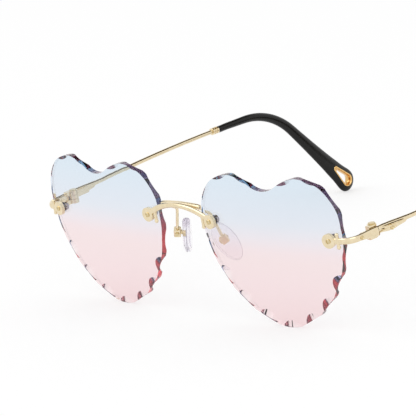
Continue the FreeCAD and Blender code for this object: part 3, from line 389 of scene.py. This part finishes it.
def make_seam(side, finish):
    """The fine parting line that the mould leaves round a nose pad."""
    name = "nose_pad_" + side
    skin = skin_of(name)
    spots = [v.co.copy() for v in nodes[name].data.vertices]
    low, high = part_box(name)
    middle = (low + high) / 2
    one = max(spots, key=lambda s: (s - middle).length)
    other = max(spots, key=lambda s: (s - one).length)
    along = (other - one).normalized()
    first = along.orthogonal().normalized()
    second = along.cross(first)
    # The pad is thinnest along one of the directions round its length, tried a degree apart
    tried = [first * math.cos(math.radians(a)) + second * math.sin(math.radians(a)) for a in range(180)]
    through = min(tried, key=lambda d: max(s.dot(d) for s in spots) - min(s.dot(d) for s in spots))
    across = through.cross(along)
    shape = bmesh.new()
    rings = []
    for i in range(SEAM_STEPS):
        t = 2 * math.pi * i / SEAM_STEPS
        out = along * math.cos(t) + across * math.sin(t)
        spot, _, _, _ = skin.ray_cast(middle + out * SEAM_REACH, -out)
        rings.append([shape.verts.new(spot + (out * math.cos(a) + through * math.sin(a)) * SEAM_RADIUS)
                      for a in (0, math.pi / 2, math.pi, 1.5 * math.pi)])
    for i, ring in enumerate(rings):
        for k, corner in enumerate(ring):
            shape.faces.new((rings[i - 1][k - 1], rings[i - 1][k], corner, ring[k - 1]))
    # The line is real, but its grey finish is painted shade standing in for the dark rim of the clear pad
    place_piece("pad_seam_and_painted_rim_" + side, shape, finish, name)


def make_screws(finish):
    """The four lens screws with turned heads, where the CAD ones sit."""
    source = nodes["lens_screws"].data
    groups = []
    for vertex in source.vertices:
        near = next((group for group in groups if (group[0] - vertex.co).length < SCREW_REACH), None)
        if near is None:
            groups.append([vertex.co.copy()])
        else:
            near.append(vertex.co.copy())
    shape = bmesh.new()
    for spots in groups:
        axis = main_normal([face for face in source.polygons
                            if (face.center - spots[0]).length < SCREW_REACH])
        middle, across = Vector(), axis.orthogonal().normalized()
        for direction in (across, axis.cross(across)):
            places = [spot.dot(direction) for spot in spots]
            middle += direction * (min(places) + max(places)) / 2
        measured = [((spot - middle - axis * spot.dot(axis)).length, spot.dot(axis)) for spot in spots]
        head_radius = max(radius for radius, _ in measured)
        heights = [height for _, height in measured]
        head = [height for radius, height in measured if radius > HEAD_SHARE * head_radius]
        if sum(head) / len(head) < (min(heights) + max(heights)) / 2:
            axis = -axis
            heights, head = [-h for h in heights], [-h for h in head]
        seat, top, foot = min(head), max(heights), min(heights)
        shank = max(radius for radius, _ in measured if radius < HEAD_SHARE * head_radius)
        turned(shape, middle, axis, [
            (shank - BROKEN_EDGE, foot), (shank, foot + BROKEN_EDGE), (shank, seat), (head_radius, seat),
            (head_radius, top - BROKEN_EDGE), (head_radius - BROKEN_EDGE, top),
            (head_radius - RIM_WIDTH, top), (head_radius - RIM_WIDTH - BROKEN_EDGE, top - HOLLOW_DEPTH)])
    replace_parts(place_piece("turned_lens_screws", shape, finish, "front"), "lens_screws")


def teardrop(length, wide, narrow, start):
    """A teardrop outline as (along, across) pairs, with the round end at start."""
    lean = math.acos((wide - narrow) / (2 * length - wide - narrow))
    arcs = []
    for centre, radius, first, last, steps in (
            (start + length - narrow / 2, narrow / 2, -lean, lean, NARROW_STEPS),
            (start + wide / 2, wide / 2, lean, 2 * math.pi - lean, WIDE_STEPS)):
        turns = [first + (last - first) * i / steps for i in range(steps + 1)]
        arcs.append([(centre + radius * math.cos(t), radius * math.sin(t)) for t in turns])
    outline = []
    for arc, after in zip(arcs, arcs[::-1]):
        (x, y), (u, v) = arc[-1], after[0]
        outline += arc + [(x + (u - x) * i / SIDE_STEPS, y + (v - y) * i / SIDE_STEPS)
                          for i in range(1, SIDE_STEPS)]
    return outline


def make_bezel(side, finish):
    """The tip's gold bezel, with a wide hole and rounded lips, where the CAD eyelet sits."""
    source = nodes["eyelet_" + side].data
    spots = [v.co.copy() for v in source.vertices]
    through = main_normal(source.polygons)
    one, other = max(itertools.combinations(spots, 2), key=lambda pair: (pair[0] - pair[1]).length)
    along = other - one
    for _ in range(END_ROUNDS):
        along = (along - through * along.dot(through)).normalized()
        reach = sorted(spots, key=along.dot)
        ends = [[s for s in spots if abs((s - end).dot(along)) < END_DEPTH] for end in (reach[0], reach[-1])]
        near, far = (sum(group, Vector()) / len(group) for group in ends)
        along = far - near
    along = (along - through * along.dot(through)).normalized()
    across = through.cross(along)
    middle = (near + far) / 2
    # The wide end comes first
    if (max(abs((s - middle).dot(across)) for s in spots if (s - middle).dot(along) > 0)
            > max(abs((s - middle).dot(across)) for s in spots if (s - middle).dot(along) < 0)):
        along, across = -along, -across
    spans = []
    for axis in (along, across, through):
        places = [s.dot(axis) for s in spots]
        spans.append((min(places), max(places)))
    (foot, tip), (left, right), (under, over) = spans
    base = along * foot + across * (left + right) / 2 + through * (under + over) / 2
    rim = teardrop(tip - foot, right - left, NARROW_END, 0)
    hole = teardrop(HOLE_LENGTH, HOLE_WIDTH, HOLE_NARROW_END, HOLE_MARGIN)
    shape = bmesh.new()
    rings = []
    for (a, b), (c, d) in zip(rim, hole):
        rings.append([shape.verts.new(base + along * (a + (c - a) * share) + across * (b + (d - b) * share)
                                      + through * (over - under) / 2 * height)
                      for share, height in BEZEL_SECTION])
    for ring, following in zip(rings, rings[1:] + rings[:1]):
        for i, corner in enumerate(ring):
            shape.faces.new((corner, following[i], following[i - 1], ring[i - 1]))
    bezel = place_piece("bezel_" + side, shape, finish, "temple_" + side)
    bezel.data.polygons.foreach_set("use_smooth", [True] * len(bezel.data.polygons))
    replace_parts(bezel, "eyelet_" + side)


def sees_backdrop(tree):
    """One for rays that look at the backdrop: from the camera, off metal or through glass."""
    light = add(tree, "ShaderNodeLightPath")
    seen = light.outputs["Is Camera Ray"]
    for kind in ("Is Glossy Ray", "Is Transmission Ray"):
        seen = add(tree, "ShaderNodeMath", {0: seen, 1: light.outputs[kind]}, operation="MAXIMUM").outputs[0]
    return seen


def stage_sheet(name, spots, sheets, finish):
    """A sheet of the studio round the object, which is no part of it."""
    mesh = bpy.data.meshes.new(name)
    mesh.from_pydata(spots, [], sheets)
    mesh.materials.append(finish)
    sheet = bpy.data.objects.new(name, mesh)
    bpy.context.scene.collection.objects.link(sheet)
    return sheet


def make_floor():
    # Matt white paper. Where a ray looks at it as a backdrop it is mostly plain white.
    made, tree = blank("white_paper")
    paper = add(tree, "ShaderNodeBsdfDiffuse", {"Color": linear("#FCFCFC")})
    white = add(tree, "ShaderNodeEmission", {"Color": linear("#FFFFFF"), "Strength": 1.0})
    share = add(tree, "ShaderNodeMath", {0: sees_backdrop(tree), 1: WHITE_SHARE}, operation="MULTIPLY")
    mixed = add(tree, "ShaderNodeMixShader", {
        "Fac": share.outputs[0], 1: paper.outputs["BSDF"], 2: white.outputs["Emission"]})
    add(tree, "ShaderNodeOutputMaterial", {"Surface": mixed.outputs["Shader"]})
    corners = [(x * FLOOR_REACH, y * FLOOR_REACH, 0) for x, y in ((-1, -1), (1, -1), (1, 1), (-1, 1))]
    stage_sheet("floor", corners, [(0, 1, 2, 3)], made).location.z = -FLOOR_DROP


def make_cards():
    # Matt brown card, one piece curved round high behind the object and one low on the floor behind it. Only
    # reflections show them, as thin dark lines on polished metal and a dark band on the black tips.
    made, tree = blank("brown_card")
    card = add(tree, "ShaderNodeBsdfDiffuse", {"Color": linear("#5A4E3C")})
    add(tree, "ShaderNodeOutputMaterial", {"Surface": card.outputs["BSDF"]})
    first, last = (math.radians(bearing) for bearing in CARD_BEARINGS)
    turns = [first + (last - first) * i / CARD_STEPS for i in range(CARD_STEPS + 1)]
    high_spots = [(CARD_AWAY * math.cos(t) * math.cos(e), CARD_AWAY * math.sin(t) * math.cos(e),
                   CARD_AWAY * math.sin(e)) for e in map(math.radians, CARD_ELEVATIONS) for t in turns]
    high_sheets = [(i, i + 1, i + CARD_STEPS + 2, i + CARD_STEPS + 1) for i in range(CARD_STEPS)]
    low_spots = [(x * MM, y * MM, LOW_CARD_RISE) for x, y in LOW_CARD]
    for name, spots, sheets in (
            ("high_card", high_spots, high_sheets), ("low_card", low_spots, [(0, 1, 2, 3)])):
        sheet = stage_sheet(name, spots, sheets, made)
        for ray in ("camera", "diffuse", "transmission", "shadow"):
            setattr(sheet, "visible_" + ray, False)


def make_light():
    """A pale room with two soft lamps."""
    world = bpy.data.worlds.new("studio")
    world.use_nodes = True
    tree = world.node_tree
    tree.nodes.clear()
    room = add(tree, "ShaderNodeBackground", {"Color": linear("#FFFFFF"), "Strength": ROOM_LIGHT})
    white = add(tree, "ShaderNodeBackground", {"Color": linear("#FFFFFF"), "Strength": ROOM_WHITE})
    mixed = add(tree, "ShaderNodeMixShader", {
        "Fac": sees_backdrop(tree), 1: room.outputs["Background"], 2: white.outputs["Background"]})
    add(tree, "ShaderNodeOutputWorld", {"Surface": mixed.outputs["Shader"]})
    bpy.context.scene.world = world
    for name, (place, width, watts) in LAMPS.items():
        lamp = bpy.data.lights.new(name, "AREA")
        lamp.size = width
        lamp.energy = watts
        held = bpy.data.objects.new(name, lamp)
        held.location = place
        held.rotation_euler = (-Vector(place)).to_track_quat("-Z", "Y").to_euler()
        bpy.context.scene.collection.objects.link(held)


def make_camera():
    """The photograph's view: a long lens, from the wearer's left front and a little above."""
    away = Vector((math.sin(AZIMUTH) * math.cos(ELEVATION), -math.cos(AZIMUTH) * math.cos(ELEVATION),
                   math.sin(ELEVATION)))
    level = Vector((math.cos(AZIMUTH), math.sin(AZIMUTH), 0))
    rise = away.cross(level)
    across = math.cos(ROLL) * level + math.sin(ROLL) * rise
    upward = -math.sin(ROLL) * level + math.cos(ROLL) * rise
    aim = Vector((0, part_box("lens_left")[0].y + AIM_BACK, AIM_HEIGHT))
    lens = bpy.data.cameras.new("camera")
    lens.lens = FOCAL_LENGTH
    lens.sensor_width = SENSOR_WIDTH
    lens.clip_start = NEAREST
    camera = bpy.data.objects.new("camera", lens)
    turn = Matrix((across, upward, away)).transposed().to_4x4()
    spot = aim + CAMERA_ACROSS * across + CAMERA_UP * upward + CAMERA_AWAY * away
    camera.matrix_world = Matrix.Translation(spot) @ turn
    bpy.context.scene.collection.objects.link(camera)
    bpy.context.scene.camera = camera


dress()
make_floor()
make_cards()
make_light()
make_camera()
bpy.context.scene.view_settings.view_transform = "Standard"
for kind in ("max_bounces", "glossy_bounces", "transmission_bounces"):
    setattr(bpy.context.scene.cycles, kind, BOUNCES)
